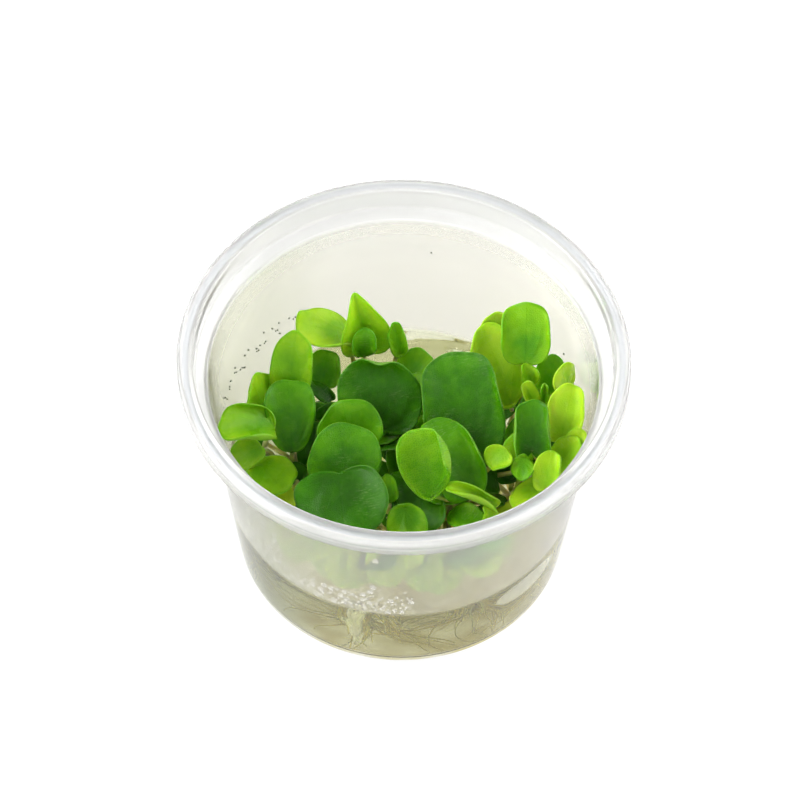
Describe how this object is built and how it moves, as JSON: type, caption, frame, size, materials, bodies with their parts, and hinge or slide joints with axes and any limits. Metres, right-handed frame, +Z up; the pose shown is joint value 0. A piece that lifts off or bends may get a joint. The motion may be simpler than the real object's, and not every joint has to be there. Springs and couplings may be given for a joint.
{
  "type": "floating heart plantlets in a tissue-culture cup",
  "caption": "Clear plastic cup with a rolled rim, holding clear nutrient gel and rooted plantlets with round, notched green leaves on slim petioles.",
  "frame": {"origin": "centre of the cup's foot, on the surface that it stands on", "axes": "+Z up along the cup's axis; the picture looks along +Y, with +X to the right"},
  "size_m": [0.1, 0.1, 0.067],
  "materials": {
    "cup_plastic": "translucent, slightly milky plastic, smooth",
    "nutrient_gel": "clear wet gel, faintly grey-tan",
    "leaf_green": "soft waxy leaf, mid green",
    "leaf_pale": "soft waxy leaf, yellow-green",
    "leaf_dark": "soft waxy leaf, dark green",
    "crown": "fleshy olive-green crown",
    "root": "pale tan roots in gel"
  },
  "bodies": {
    "root": {"cup": "cup_plastic", "gel": "nutrient_gel", "crown_left": "crown", "crown_front": "crown", "crown_back": "crown", "crown_middle": "crown", "crown_right_back": "crown", "crown_right_front": "crown", "roots_left": "root", "roots_front": "root", "roots_back": "root", "roots_middle": "root", "roots_right_back": "root", "roots_right_front": "root", "leaf_front_large": "leaf_dark", "leaf_front_mid": "leaf_green", "leaf_front_mid_back": "leaf_green", "leaf_front_centre_low": "leaf_green", "leaf_front_centre_dark": "leaf_dark", "leaf_front_small": "leaf_green", "leaf_centre_large": "leaf_dark", "leaf_olive_under": "leaf_dark", "leaf_back_left_yellow": "leaf_pale", "leaf_back_peak": "leaf_green", "leaf_back_small": "leaf_green", "leaf_back_narrow": "leaf_green", "leaf_back_olive": "leaf_green", "leaf_back_olive_low": "leaf_green", "leaf_left_upright": "leaf_green", "leaf_left_dull": "leaf_dark", "leaf_left_wall": "leaf_pale", "leaf_left_far": "leaf_pale", "leaf_left_far_low": "leaf_pale", "leaf_left_front_low": "leaf_green", "leaf_left_shade": "leaf_dark", "leaf_left_inner": "leaf_dark", "leaf_left_narrow": "leaf_dark", "leaf_right_large": "leaf_dark", "leaf_folded_near": "leaf_green", "leaf_folded_far": "leaf_green", "leaf_front_right_low": "leaf_green", "leaf_front_right_small": "leaf_pale", "leaf_rolled_band": "leaf_pale", "leaf_right_yellow_tall": "leaf_pale", "leaf_right_yellow_back": "leaf_pale", "leaf_right_upright": "leaf_green", "leaf_right_behind": "leaf_green", "leaf_young_mid": "leaf_pale", "leaf_young_rolled": "leaf_pale", "leaf_young_grey": "leaf_pale", "leaf_right_bright": "leaf_pale", "leaf_right_bright_back": "leaf_pale", "leaf_right_lobe": "leaf_pale", "leaf_right_cup": "leaf_green", "leaf_right_low": "leaf_pale", "leaf_small_round": "leaf_pale", "leaf_small_arc": "leaf_green", "leaf_small_dark": "leaf_green", "leaf_right_front": "leaf_green", "leaf_front_right_rim": "leaf_pale"}
  },
  "joints": []
}
